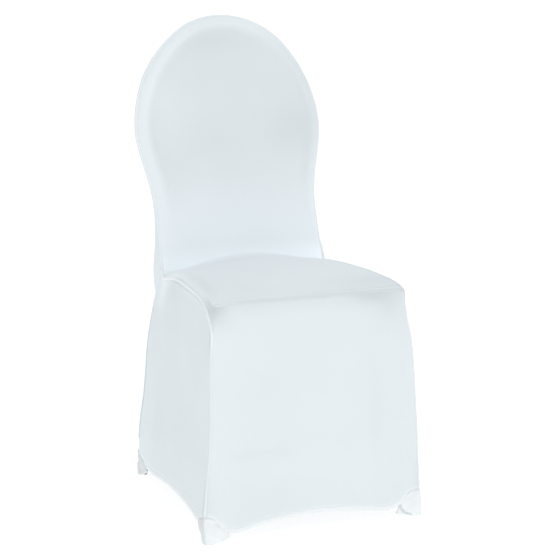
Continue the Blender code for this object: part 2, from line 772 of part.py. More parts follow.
panel_cloth = fabric("panel_cloth", PANEL_COLOUR, PANEL_ROUGHNESS)
pocket_cloth = fabric("pocket_cloth", POCKET_COLOUR, POCKET_ROUGHNESS)
front = front_panel(panel_cloth)
rear = rear_panel(panel_cloth)
sides = (
    ("left", -1, front.left, rear.left),
    ("right", 1, front.right, rear.right),
)
for word, side, front_seam, rear_seam in sides:
    hem = side_panel("side_panel_" + word, side, front_seam, rear_seam, panel_cloth)
    foot_pocket("foot_pocket_front_" + word, side, False, front.hem, hem, pocket_cloth)
    foot_pocket("foot_pocket_rear_" + word, side, True, rear.hem, hem, pocket_cloth)
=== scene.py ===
import math
import bmesh
import bpy
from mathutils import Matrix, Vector, noise
from mathutils.kdtree import KDTree


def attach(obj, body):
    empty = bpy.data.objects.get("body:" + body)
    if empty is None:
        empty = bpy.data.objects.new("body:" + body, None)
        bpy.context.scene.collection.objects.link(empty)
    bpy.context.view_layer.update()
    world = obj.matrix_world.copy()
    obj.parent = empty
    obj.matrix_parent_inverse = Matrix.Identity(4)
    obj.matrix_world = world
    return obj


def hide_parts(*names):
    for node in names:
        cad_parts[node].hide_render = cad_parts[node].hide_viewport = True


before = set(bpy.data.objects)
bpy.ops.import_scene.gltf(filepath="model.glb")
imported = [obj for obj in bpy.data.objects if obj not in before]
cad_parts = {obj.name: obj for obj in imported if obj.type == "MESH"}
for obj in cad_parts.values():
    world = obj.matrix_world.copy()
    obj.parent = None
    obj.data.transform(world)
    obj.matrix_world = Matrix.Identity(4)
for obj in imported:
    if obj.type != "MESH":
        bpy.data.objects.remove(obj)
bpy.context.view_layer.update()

scene = bpy.context.scene

# Places in this file are measured from midway between the front pockets
frontMiddle = Vector((-0.0044, -0.2758, 0.0))
board = {"footDepth": 0.3785, "footHeight": 0.4383, "lean": math.radians(14.65)}  # the leaning back's plane
inside = Vector((0.0, -0.05, 0.30))  # a point within the cover, to tell its outer side from its inner
edgeReach = {"seam": 0.0016, "corner": 0.0012, "pocket": 0.0026}  # how near counts as touching, in metres


def ease(t):
    t = min(max(t, 0.0), 1.0)
    return t * t * (3 - 2 * t)


# A soft ridge along a line, 1 on the line
def ridge(x, width):
    return math.exp(-((x / width) ** 2))


# A soft hump, 1 at its middle
def hump(x, y, width, height):
    return math.exp(-((x / width) ** 2) - (y / height) ** 2)


# Humps at (across, up), each with its width, height and amount
def humps(across, up, places):
    return sum(amount * hump(across - x, up - y, width, height) for x, y, width, height, amount in places)


# Camera, as fitted to the foot pockets, the seat's corners and the back's outline
cameraData = bpy.data.cameras.new("Camera")
cameraData.lens = 104.05
cameraData.sensor_width = 36
camera = bpy.data.objects.new("Camera", cameraData)
camera.location = Vector((-1.1089, -2.6639, 1.1229)) + frontMiddle
camera.rotation_euler = (math.radians(90 - 12.2579), 0, math.radians(-21.2186))
scene.collection.objects.link(camera)
scene.camera = camera
scene.view_settings.view_transform = "Standard"
print("camera set")


# Stage
studioFloor = {"half": 40.0, "wall": 10.0, "drop": 0.0005, "grey": 0.42, "roughness": 0.9, "glow": 0.78}


# A wide floor with low far walls, so that level views also have a pale background
def makeFloor():
    data = bpy.data.meshes.new("studio_floor")
    half, wall = studioFloor["half"], studioFloor["wall"]
    corners = [(-half, -half), (half, -half), (half, half), (-half, half)]
    points = [(x, y, 0) for x, y in corners] + [(x, y, wall) for x, y in corners]
    walls = [(i, i + 4, (i + 1) % 4 + 4, (i + 1) % 4) for i in range(4)]
    data.from_pydata(points, [], [(0, 1, 2, 3)] + walls)
    floor = bpy.data.objects.new("studio_floor", data)
    floor.location.z = -studioFloor["drop"]
    scene.collection.objects.link(floor)
    material = bpy.data.materials.new("pale_floor")
    material.use_nodes = True
    shader = material.node_tree.nodes["Principled BSDF"]
    shader.inputs["Base Color"].default_value = (studioFloor["grey"],) * 3 + (1,)
    shader.inputs["Roughness"].default_value = studioFloor["roughness"]
    shader.inputs["Emission Color"].default_value = (1, 1, 1, 1)
    shader.inputs["Emission Strength"].default_value = studioFloor["glow"]
    data.materials.append(material)


def makeLight(name, place, aim, size, power):
    data = bpy.data.lights.new(name, "AREA")
    data.shape = "RECTANGLE"
    data.size, data.size_y = size
    data.energy = power
    light = bpy.data.objects.new(name, data)
    light.location = place
    light.rotation_euler = (Vector(aim) - Vector(place)).to_track_quat("-Z", "Y").to_euler()
    scene.collection.objects.link(light)


makeFloor()
world = bpy.data.worlds.new("studio")
scene.world = world
world.use_nodes = True
world.node_tree.nodes["Background"].inputs["Color"].default_value = (0.965, 0.98, 1.0, 1)
world.node_tree.nodes["Background"].inputs["Strength"].default_value = 0.80
makeLight("front_light", (0.9, -2.2, 0.55), (0.0, -0.1, 0.35), (1.6, 1.0), 1.5)
makeLight("overhead_light", (0.2, -1.3, 2.2), (0.0, 0.02, 0.45), (1.4, 1.0), 5)
print("stage set")


# Fabric
stretchKnit = {
    "coursePitch": 0.0011,
    "walePitch": 0.0009,
    "courseShare": 0.6,
    "mottleScale": 7.0,
    "mottleDetail": 3.0,
}


# Fine wales and courses of a stretch knit, as a height, and slow differences in its tone
def makeKnitGroup():
    group = bpy.data.node_groups.new("stretch_knit", "ShaderNodeTree")
    for label in ("Height", "Tone"):
        group.interface.new_socket(label, in_out="OUTPUT", socket_type="NodeSocketFloat")
    nodes, links = group.nodes, group.links
    out = nodes.new("NodeGroupOutput")
    lay = nodes.new("ShaderNodeAttribute")
    lay.attribute_name = "lay"
    split = nodes.new("ShaderNodeSeparateXYZ")
    links.new(lay.outputs["Vector"], split.inputs[0])

    def ribs(axis, pitch):
        scaled = nodes.new("ShaderNodeMath")
        scaled.operation = "MULTIPLY"
        scaled.inputs[1].default_value = 2 * math.pi / pitch
        links.new(split.outputs[axis], scaled.inputs[0])
        sine = nodes.new("ShaderNodeMath")
        sine.operation = "SINE"
        links.new(scaled.outputs[0], sine.inputs[0])
        return sine.outputs[0]

    crossing = nodes.new("ShaderNodeMath")
    crossing.operation = "MULTIPLY_ADD"
    crossing.inputs[1].default_value = stretchKnit["courseShare"]
    links.new(ribs(1, stretchKnit["coursePitch"]), crossing.inputs[0])
    links.new(ribs(0, stretchKnit["walePitch"]), crossing.inputs[2])
    links.new(crossing.outputs[0], out.inputs["Height"])
    place = nodes.new("ShaderNodeTexCoord")
    slow = nodes.new("ShaderNodeTexNoise")
    slow.inputs["Scale"].default_value = stretchKnit["mottleScale"]
    slow.inputs["Detail"].default_value = stretchKnit["mottleDetail"]
    links.new(place.outputs["Object"], slow.inputs["Vector"])
    links.new(slow.outputs["Fac"], out.inputs["Tone"])
    return group


knitGroup = makeKnitGroup()


# The painted "tone" of each point darkens or pales the cloth as painted light and shade, with an uneven tone
# on the pockets, and "doubled" mixes in the hem's colour
def makeFabric(name, colour, hemColour, roughness):
    material = bpy.data.materials.new(name)
    material.use_nodes = True
    nodes, links = material.node_tree.nodes, material.node_tree.links
    shader = nodes["Principled BSDF"]
    shader.inputs["Roughness"].default_value = roughness
    shader.inputs["Sheen Weight"].default_value = 0.18
    shader.inputs["Sheen Roughness"].default_value = 0.45
    shader.inputs["Specular IOR Level"].default_value = 0.25
    knit = nodes.new("ShaderNodeGroup")
    knit.node_tree = knitGroup
    mottle = nodes.new("ShaderNodeMapRange")
    mottle.inputs["From Min"].default_value = 0.3
    mottle.inputs["From Max"].default_value = 0.7
    mottle.inputs["To Min"].default_value = 0.975
    mottle.inputs["To Max"].default_value = 1.0
    links.new(knit.outputs["Tone"], mottle.inputs["Value"])
    doubled = nodes.new("ShaderNodeAttribute")
    doubled.attribute_name = "doubled"
    blend = nodes.new("ShaderNodeMix")
    blend.data_type = "RGBA"
    blend.inputs["A"].default_value = colour
    blend.inputs["B"].default_value = hemColour
    links.new(doubled.outputs["Fac"], blend.inputs["Factor"])
    painted = nodes.new("ShaderNodeAttribute")
    painted.attribute_name = "tone"
    depth = nodes.new("ShaderNodeMath")
    depth.operation = "MULTIPLY"
    links.new(mottle.outputs["Result"], depth.inputs[0])
    links.new(painted.outputs["Fac"], depth.inputs[1])
    toned = nodes.new("ShaderNodeVectorMath")
    toned.operation = "SCALE"
    links.new(blend.outputs["Result"], toned.inputs[0])
    links.new(depth.outputs[0], toned.inputs["Scale"])
    links.new(toned.outputs["Vector"], shader.inputs["Base Color"])
    relief = nodes.new("ShaderNodeBump")
    relief.inputs["Strength"].default_value = 0.25
    relief.inputs["Distance"].default_value = 0.00012
    links.new(knit.outputs["Height"], relief.inputs["Height"])
    links.new(relief.outputs["Normal"], shader.inputs["Normal"])
    return material


panelFabric = makeFabric("panel_knit", (0.815, 0.872, 0.896, 1), (0.88, 0.92, 0.938, 1), 0.72)
pocketFabric = makeFabric("pocket_knit", (0.875, 0.915, 0.935, 1), (0.90, 0.935, 0.95, 1), 0.68)
print("fabric made")


skinCut = {"weld": 0.00002, "fold": math.radians(52), "flat": math.radians(60), "shape": math.radians(80)}


# The outer side of a solid sheet, as quads
def outerSkin(node):
    skin = bmesh.new()
    skin.from_mesh(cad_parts[node].data)
    bmesh.ops.remove_doubles(skin, verts=skin.verts, dist=skinCut["weld"])
    skin.normal_update()
    seen = set()
    best = (0.0, [])
    for start in skin.faces:
        if start in seen:
            continue
        seen.add(start)
        stack, group, facing = [start], [], 0.0
        while stack:
            face = stack.pop()
            group.append(face)
            facing += face.calc_area() * face.normal.dot(face.calc_center_median() - inside)
            for edge in face.edges:
                if edge.calc_face_angle(math.pi) > skinCut["fold"]:
                    continue
                for other in edge.link_faces:
                    if other not in seen:
                        seen.add(other)
                        stack.append(other)
        if facing > best[0]:
            best = (facing, group)
    keep = set(best[1])
    bmesh.ops.delete(skin, geom=[face for face in skin.faces if face not in keep], context="FACES")
    bmesh.ops.join_triangles(
        skin, faces=skin.faces, angle_face_threshold=skinCut["flat"], angle_shape_threshold=skinCut["shape"]
    )
    return skin


# The skin as an object's mesh, on a smooth surface along its points
def subdivide(skin, name, levels):
    data = bpy.data.meshes.new(name)
    skin.to_mesh(data)
    skin.free()
    piece = bpy.data.objects.new(name, data)
    scene.collection.objects.link(piece)
    smooth = piece.modifiers.new("smooth", "SUBSURF")
    smooth.levels = smooth.render_levels = levels
    smooth.boundary_smooth = "PRESERVE_CORNERS"
    bpy.context.view_layer.update()
    shaped = bpy.data.meshes.new_from_object(piece.evaluated_get(bpy.context.evaluated_depsgraph_get()))
    piece.modifiers.clear()
    piece.data = shaped
    shaped.name = name
    bpy.data.meshes.remove(data)
    return piece


# The points round the edge of an open mesh, in order
def boundaryLoop(data):
    counts = {}
    for face in data.polygons:
        for key in face.edge_keys:
            counts[key] = counts.get(key, 0) + 1
    after = {}
    for key, count in counts.items():
        if count == 1:
            after.setdefault(key[0], []).append(key[1])
            after.setdefault(key[1], []).append(key[0])
    start = min(after)
    loop, previous, at = [start], None, start
    while True:
        nexts = [v for v in after[at] if v != previous]
        previous, at = at, nexts[0]
        if at == start:
            return loop
        loop.append(at)


# 1 where a mesh's normals point out of the cover, -1 where they point into it
def turnOf(data):
    return 1 if sum(v.normal.dot(v.co - inside) for v in data.vertices) > 0 else -1


def treeOf(points):
    tree = KDTree(len(points))
    for i, point in enumerate(points):
        tree.insert(point, i)
    tree.balance()
    return tree


# Where three panels meet, each keeps its point, so that no gap opens there
def pinCorners(skins):
    edges = {}
    for node, skin in skins.items():
        edges[node] = treeOf([v.co.copy() for v in skin.verts if v.is_boundary])
    for node, skin in skins.items():
        pin = skin.verts.layers.float.new("crease_vert")
        for v in skin.verts:
            if v.is_boundary:
                others = [other for other in skins if other != node]
                if sum(edges[other].find(v.co)[2] < edgeReach["corner"] for other in others) > 1:
                    v[pin] = 1.0


def loopPoints(panel, loop):
    return [panel["piece"].data.vertices[i].co.copy() for i in loop]


smoothLevels = {"panel": 3, "pocket": 3}
panels = {}
panelNodes = ("front_panel", "rear_panel", "side_panel_left", "side_panel_right")
skins = {node: outerSkin(node) for node in panelNodes}
pinCorners(skins)
for node, skin in skins.items():
    piece = subdivide(skin, "cover_" + node, smoothLevels["panel"])
    loop = boundaryLoop(piece.data)
    panels[node] = {"piece": piece, "loop": loop}
    print(node, len(piece.data.polygons), "faces,", len(loop), "edge points")
for node, panel in panels.items():
    others = []
    for name, other in panels.items():
        if name != node:
            others += loopPoints(other, other["loop"])
    near = treeOf(others)
    points = loopPoints(panel, panel["loop"])
    panel["onSeam"] = [near.find(p)[2] < edgeReach["seam"] for p in points]
    seamPoints = [p for p, on in zip(points, panel["onSeam"]) if on]
    hemPoints = [p for p, on in zip(points, panel["onSeam"]) if not on]
    panel["seamTree"], panel["hemTree"] = treeOf(seamPoints), treeOf(hemPoints)
    print(node, len(seamPoints), "on seams,", len(hemPoints), "on the hem")


# (across, up) on the leaning back's face
def boardPlace(p):
    y, z = p.y - board["footDepth"], p.z - board["footHeight"]
    return p.x, y * math.sin(board["lean"]) + z * math.cos(board["lean"])


# Folds and hollows, given one by one. Each amount is how far the cloth stands out, in metres, and a
# fold in a list is (across, up, width, height, amount)
frontFolds = {
    "backSink": 0.0058,  # how deep the back's face lies within its rim
    "rimWidth": 0.020,
    "onBack": [(0.06, 0.30, 0.10, 0.12, -0.0012), (-0.02, 0.16, 0.11, 0.05, 0.0008)],
    "onSeat": [(-0.150, 0.055, 0.030, 0.018, -0.0010)],
    "onSkirt": [
        (-0.168, 0.424, 0.026, 0.020, -0.0056),
        (0.135, 0.424, 0.036, 0.017, -0.0040),
        (-0.10, 0.30, 0.06, 0.05, -0.0020),
        (-0.02, 0.150, 0.12, 0.018, 0.0016),
        (-0.12, 0.168, 0.07, 0.004, -0.0014),
        (0.15, 0.22, 0.03, 0.12, -0.0018),
    ],
    "pulls": [(0.16, 0.10, 0.0012), (0.12, 0.28, 0.0010), (0.09, 0.55, 0.0009)],  # (reach, lean, height)
    "pullFoot": 0.196,
    "pullWidth": 0.006,
}


def frontForms(p, normal, seamDistance):
    if p.y > 0.30:
        across, up = boardPlace(p)
        sink = ease((seamDistance - frontFolds["rimWidth"]) / 0.018) * ease((up - 0.10) / 0.12)
        return humps(across, up, frontFolds["onBack"]) - frontFolds["backSink"] * sink
    onFront = ease((0.75 - normal.z) / 0.5) * ease((0.12 - p.y) / 0.06)
    front = humps(p.x, p.z, frontFolds["onSkirt"])
    for side in (-1, 1):
        for reach, lean, height in frontFolds["pulls"]:
            line = side * (frontFolds["pullFoot"] - lean * (p.z - 0.02))
            front += height * ridge(p.x - line, frontFolds["pullWidth"]) * ease(1 - abs(p.z - 0.05) / reach)
    return humps(p.x, p.y, frontFolds["onSeat"]) * (1 - onFront) + front * onFront


sideFolds = {
    "sink": 0.0022,  # how far the middle is drawn in
    "onSide": [(0.07, 0.40, 0.03, 0.03, -0.0014)],
    "pulls": [(0.20, 0.35, 0.0010), (0.16, 0.75, 0.0009)],
    "rearFoot": 0.44,
    "frontFoot": 0.02,
    "pullFloor": 0.03,
}


def sideForms(p, normal, seamDistance):
    along = min(max((p.y - 0.02) / 0.40, 0), 1)
    height = -sideFolds["sink"] * math.sin(math.pi * along) * ease((p.z - 0.10) / 0.15)
    height += humps(p.y, p.z, sideFolds["onSide"])
    rise = p.z - sideFolds["pullFloor"]
    for reach, lean, pull in sideFolds["pulls"]:
        rearPull = ridge(p.y - sideFolds["rearFoot"] + lean * rise, 0.009)
        frontPull = ridge(p.y - sideFolds["frontFoot"] - lean * rise, 0.008)
        height += pull * (rearPull + frontPull) * ease(1 - rise / reach)
    return height


rearFolds = {
    "belowSeat": (0.0, 0.40, 0.12, 0.03, -0.0012),
    "backCrown": 0.0015,
    "pulls": [(0.20, 0.0010), (0.45, 0.0008)],  # (lean, height)
    "lowFoot": 0.190,
    "highFoot": 0.176,
}


def rearForms(p, normal, seamDistance):
    height = humps(p.x, p.z, [rearFolds["belowSeat"]])
    if p.z > 0.46:
        height += rearFolds["backCrown"] * ease((seamDistance - 0.02) / 0.05)
    for side in (-1, 1):
        for lean, pull in rearFolds["pulls"]:
            line = side * (rearFolds["lowFoot"] - lean * (p.z - 0.02))
            height += pull * ridge(p.x - line, 0.007) * ease(1 - abs(p.z - 0.05) / 0.14)
            line = side * (rearFolds["highFoot"] - lean * abs(p.z - 0.40))
            height += pull * ridge(p.x - line, 0.006) * ease(1 - abs(p.z - 0.40) / 0.10)
    return height


# Slight unevenness all over
def slackness(p):
    return 0.0007 * noise.noise(p * 9.0) + 0.0003 * noise.noise(p * 24.0 + Vector((3.1, 0.7, 1.9)))


# (across, along) the knit, in metres
def layOf(node, p):
    if node.startswith("side"):
        return (p.y, p.z, 0.0)
    if node == "front_panel":
        return (p.x, p.z + p.y, 0.0)
    return (p.x, p.z, 0.0)


def addLayers(data):
    data.attributes.new("lay", "FLOAT_VECTOR", "POINT")
    data.attributes.new("doubled", "FLOAT", "POINT")
    data.attributes.new("tone", "FLOAT", "POINT")
    return [data.attributes[name].data for name in ("lay", "doubled", "tone")]


# Painted light and shade: how pale or dark the cloth is painted to match the photograph. It is fixed
# to the cloth, so it stays the same from every side and in every light
frontLightAndShade = {
    "back": 0.845,
    "rim": (0.106, 0.030, 0.067),  # painted light on the back's rim at the left, and how much less towards the right
    "backFace": [(-0.03, 0.480, 0.09, 0.030, -0.035), (0.14, 0.29, 0.05, 0.05, -0.030)],
    "backAll": [(-0.13, 0.34, 0.05, 0.10, 0.034), (-0.14, 0.22, 0.03, 0.03, -0.012)],
    "backFoot": (0.985, 0.19),
    "seat": 1.010,
    "onSeat": [(0.02, 0.33, 0.12, 0.05, -0.02), (0.15, 0.06, 0.09, 0.05, -0.045)],
    "seatSide": 0.06,
    "skirt": 0.925,
    "skirtTop": 0.045,
    "leftCorner": (-0.190, 0.442, 0.026, 0.028, -0.15),
    "onSkirt": [
        (0.16, 0.40, 0.05, 0.05, -0.030),
        (0.130, 0.444, 0.038, 0.018, -0.115),
        (0.165, 0.425, 0.020, 0.022, -0.045),
        (0.19, 0.33, 0.02, 0.09, -0.015),
        (0.135, 0.20, 0.016, 0.10, -0.018),
        (0.01, 0.13, 0.14, 0.04, 0.014),
        (-0.12, 0.165, 0.06, 0.015, -0.012),
    ],
    "lowCorner": 0.060,
    "seatEdge": (0.14, 0.05),  # a painted shade line on the seat's front edge, and the softer painted shade below it
}


# Painted light and shade on the front panel, over its back, seat and skirt
def frontShading(p, normal, seamDistance):
    rearward = ease((p.y - 0.27) / 0.06)
    onBack = rearward * ease((0.88 - normal.z) / 0.5)
    onFront = (1 - rearward) * ease((0.75 - normal.z) / 0.5)
    across, up = boardPlace(p)
    face = ease((seamDistance - 0.017) / 0.020)
    # Painted light on the back's rim, and patches of painted shade and light on its face
    rimLit, rimMiddle, rimRight = frontLightAndShade["rim"]
    rim = rimLit - rimMiddle * ease((p.x + 0.12) / 0.10) - rimRight * ease((p.x - 0.05) / 0.12)
    back = frontLightAndShade["back"] + rim * (1 - face) + humps(across, up, frontLightAndShade["backFace"]) * face
    back += humps(across, up, frontLightAndShade["backAll"])
    # The lower back gets painted light, most of all just above the seat
    low = ease((0.29 - up) / 0.25)
    footTone, footLit = frontLightAndShade["backFoot"]
    footShare = ease((0.06 - up) / 0.06) * (0.45 + 0.55 * ease((p.x + 0.18) / 0.07))
    back = back * (1 - low) + (footTone + footLit * footShare) * low
    # Painted shade on the seat in patches and along its side seams
    seat = frontLightAndShade["seat"] + humps(p.x, p.y, frontLightAndShade["onSeat"])
    seat -= frontLightAndShade["seatSide"] * ridge(seamDistance - 0.018, 0.013) * ease((0.30 - p.y) / 0.10)
    # Painted shade under the seat's front edge, in the skirt's top corners and beside its corner seams near
    # the floor, with soft patches of painted light and shade
    front = frontLightAndShade["skirt"] - frontLightAndShade["skirtTop"] * ridge(p.z - 0.448, 0.020)
    front += humps(p.x, p.z, frontLightAndShade["onSkirt"])
    front += humps(p.x, p.z, [frontLightAndShade["leftCorner"]]) * ease((0.10 - p.y) / 0.06)
    front -= frontLightAndShade["lowCorner"] * ridge(seamDistance, 0.010) * ease((0.16 - p.z) / 0.10)
    # A painted shade line on the seat's front edge and softer painted shade below it, less at the far left
    edgeLine, edgeShade = frontLightAndShade["seatEdge"]
    turned = edgeLine * ridge(normal.z - 0.68, 0.22) + edgeShade * ridge(normal.z - 0.32, 0.27)
    turned *= 0.45 + 0.55 * ease((p.x + 0.19) / 0.07)
    turned *= ease((0.10 - p.y) / 0.04) * ease((0.05 - normal.y - 0.5 * abs(normal.x)) / 0.25)
    return (seat * (1 - onFront) + front * onFront - turned) * (1 - onBack) + back * onBack


# Painted light and shade on the side panels: darker all over, lighter towards the floor and the rear, a
# painted shadow line along the seams towards the front near the top and the floor, a painted light patch high
# at the rear and painted shade high at the front
sideLightAndShade = {
    "tone": 0.882,
    "lowLit": 0.02,
    "rearLit": 0.02,
    "seamShadow": 0.12,
    "onSide": [(0.362, 0.42, 0.024, 0.045, 0.11), (0.05, 0.40, 0.04, 0.05, -0.02)],
}


def sideShading(p, normal, seamDistance):
    tone = sideLightAndShade["tone"] + humps(p.y, p.z, sideLightAndShade["onSide"])
    tone += sideLightAndShade["lowLit"] * ease((0.20 - p.z) / 0.2) + sideLightAndShade["rearLit"] * ease((p.y - 0.30) / 0.1)
    drawn = ease((p.z - 0.35) / 0.04) + ease((0.14 - p.z) / 0.08)
    tone -= sideLightAndShade["seamShadow"] * ridge(seamDistance - 0.004, 0.0045) * ease((0.34 - p.y) / 0.06) * drawn
    return tone


# The rear panel is painted a little darker all over, as painted shade
rearShade = {"tone": 0.93}


def rearShading(p, normal, seamDistance):
    return rearShade["tone"]


hemBand = {
    "profile": [
        (-0.0002, -0.0012), (-0.0010, -0.0004), (-0.0008, 0.0005), (0.0002, 0.0010), (0.0030, 0.0011),
        (0.0062, 0.0010), (0.0074, 0.0004), (0.0079, -0.0004), (0.0040, -0.0012),
    ],
    "width": 0.007,
    "blend": 0.004,
    "underPocket": 6,  # points that it runs on under a pocket
    "thinsOver": 6,  # points over which its ends thin out
    "doubled": 1.0,
}
seamBand = {
    "profile": [
        (-0.0026, -0.0008), (-0.0023, 0.0006), (-0.0013, 0.0017), (0.0, 0.0021),
        (0.0013, 0.0017), (0.0023, 0.0006), (0.0026, -0.0008), (0.0, -0.0010),
    ],
    "held": 0.002,  # the cloth keeps its place this near to a seam
    "release": 0.016,
    "fullness": 0.90,
    "cornerFullness": 0.45,  # extra at the front's side seams, above this height
    "cornerHeight": 0.405,
    # painted shade in the middle of the front's corner seams, and the painted light added at the top and the
    # foot
    "tone": (0.885, 0.075, 0.055),
    "doubled": 0.8,
}
bandTone = 0.94


def shapePanel(node, forms, shadingOf):
    panel = panels[node]
    data = panel["piece"].data
    normals = [v.normal.copy() for v in data.vertices]
    turn = turnOf(data)
    lay, doubled, tone = addLayers(data)
    for v, normal in zip(data.vertices, normals):
        normal = normal * turn
        seamDistance = panel["seamTree"].find(v.co)[2]
        hemDistance = panel["hemTree"].find(v.co)[2]
        p = v.co - frontMiddle
        lay[v.index].vector = layOf(node, p)
        doubled[v.index].value = 1 - ease((hemDistance - hemBand["width"]) / hemBand["blend"])
        # The painted light and shade of this point
        tone[v.index].value = shadingOf(p, normal, seamDistance)
        lift = forms(p, normal, seamDistance) + slackness(p)
        v.co += normal * lift * ease((seamDistance - seamBand["held"]) / seamBand["release"])
    data.shade_smooth()


shapePanel("front_panel", frontForms, frontShading)
shapePanel("rear_panel", rearForms, rearShading)
shapePanel("side_panel_left", sideForms, sideShading)
shapePanel("side_panel_right", sideForms, sideShading)


# Small moves that bring the outline nearer to the photograph's, the same for every panel
outlineMoves = {
    "skirtAcross": 0.0030,
    "backWider": 0.014,
    "topDown": 0.0014,
    "topLeft": (-0.125, 0.905, 0.055, 0.050, 0.0055),  # on (across, height)
    # on (depth, height)
    "rearLeft": [(0.385, 0.450, 0.050, 0.030, -0.0045), (0.44, 0.395, 0.050, 0.012, 0.0035)],
    "seatBackDown": (0.375, 0.455, 0.050, 0.040, -0.0035),
    "rightCorner": (0.198, 0.038, 0.030, 0.035, 0.0065),  # on (across, depth)
    "leftCorner": (-0.207, 0.010, 0.030, 0.030, 0.0035),
}


def drawOutline(data):
    moves = outlineMoves
    for v in data.vertices:
        p = v.co - frontMiddle
        v.co.x += moves["skirtAcross"] * ease((p.z - 0.10) / 0.10) * ease((0.50 - p.z) / 0.06)
        v.co.x += moves["backWider"] * p.x * ease((p.z - 0.48) / 0.06)
        v.co.x += humps(p.x, p.z, [moves["topLeft"]])
        v.co.x += humps(p.y, p.z, moves["rearLeft"]) * ease((-p.x - 0.12) / 0.05)
        v.co.x += humps(p.x, p.y, [moves["rightCorner"]]) * ridge(p.z - 0.450, 0.032)
        v.co.x += humps(p.x, p.y, [moves["leftCorner"]]) * ridge(p.z - 0.440, 0.030)
        v.co.z -= moves["topDown"] * ease((p.z - 0.92) / 0.03)
        v.co.z += humps(p.y, p.z, [moves["seatBackDown"]]) * ridge(p.x + 0.11, 0.10)


for panel in panels.values():
    drawOutline(panel["piece"].data)
print("panels shaped")


def layBand(data, doubledValue):
    lay, doubled, tone = addLayers(data)
    for v in data.vertices:
        tone[v.index].value = bandTone
        p = v.co - frontMiddle
        lay[v.index].vector = (p.x + p.y, p.z, 0)
        doubled[v.index].value = doubledValue


footPocket = {
    "middle": 0.222,
    "lapReach": 0.0048,
    "lapFloor": 0.008,
    "lap": (0.0050, 0.0022),  # rise of the lapped edge, and how uneven it is
    "stand": 0.0011,
    "pucker": (0.0018, 0.0007),
    "thickness": 0.0016,
    "tone": 0.925,
    "toneUneven": 0.05,
    "sideShade": 0.15,
    "doubled": 0.5,
}
frontPocket = {
    "crease": [(0.1835, 0.025), (0.1865, 0.0185), (0.1925, 0.0115), (0.2060, 0.0050)],
    "creaseWidth": 0.0026,
    "creaseDepth": 0.0020,
    "creaseShade": 0.22,
    "soleLift": 0.0016,
    "tipToHem": 0.8,
    "tipGap": 0.0015,
    "leftTaper": (0.0045, 0.12),  # the left one narrows to its sole, across and in depth
}


# The front right pocket's deep crease: 1 on its line, from the tip down to the sole
def creaseAt(p):
    line = frontPocket["crease"]
    nearest = 1.0
    for (x0, z0), (x1, z1) in zip(line, line[1:]):
        t = ((p.x - x0) * (x1 - x0) + (p.z - z0) * (z1 - z0)) / ((x1 - x0) ** 2 + (z1 - z0) ** 2)
        t = min(max(t, 0.0), 1.0)
        nearest = min(nearest, math.hypot(p.x - x0 - t * (x1 - x0), p.z - z0 - t * (z1 - z0)))
    return ridge(nearest, frontPocket["creaseWidth"]) if p.y < 0.012 else 0.0


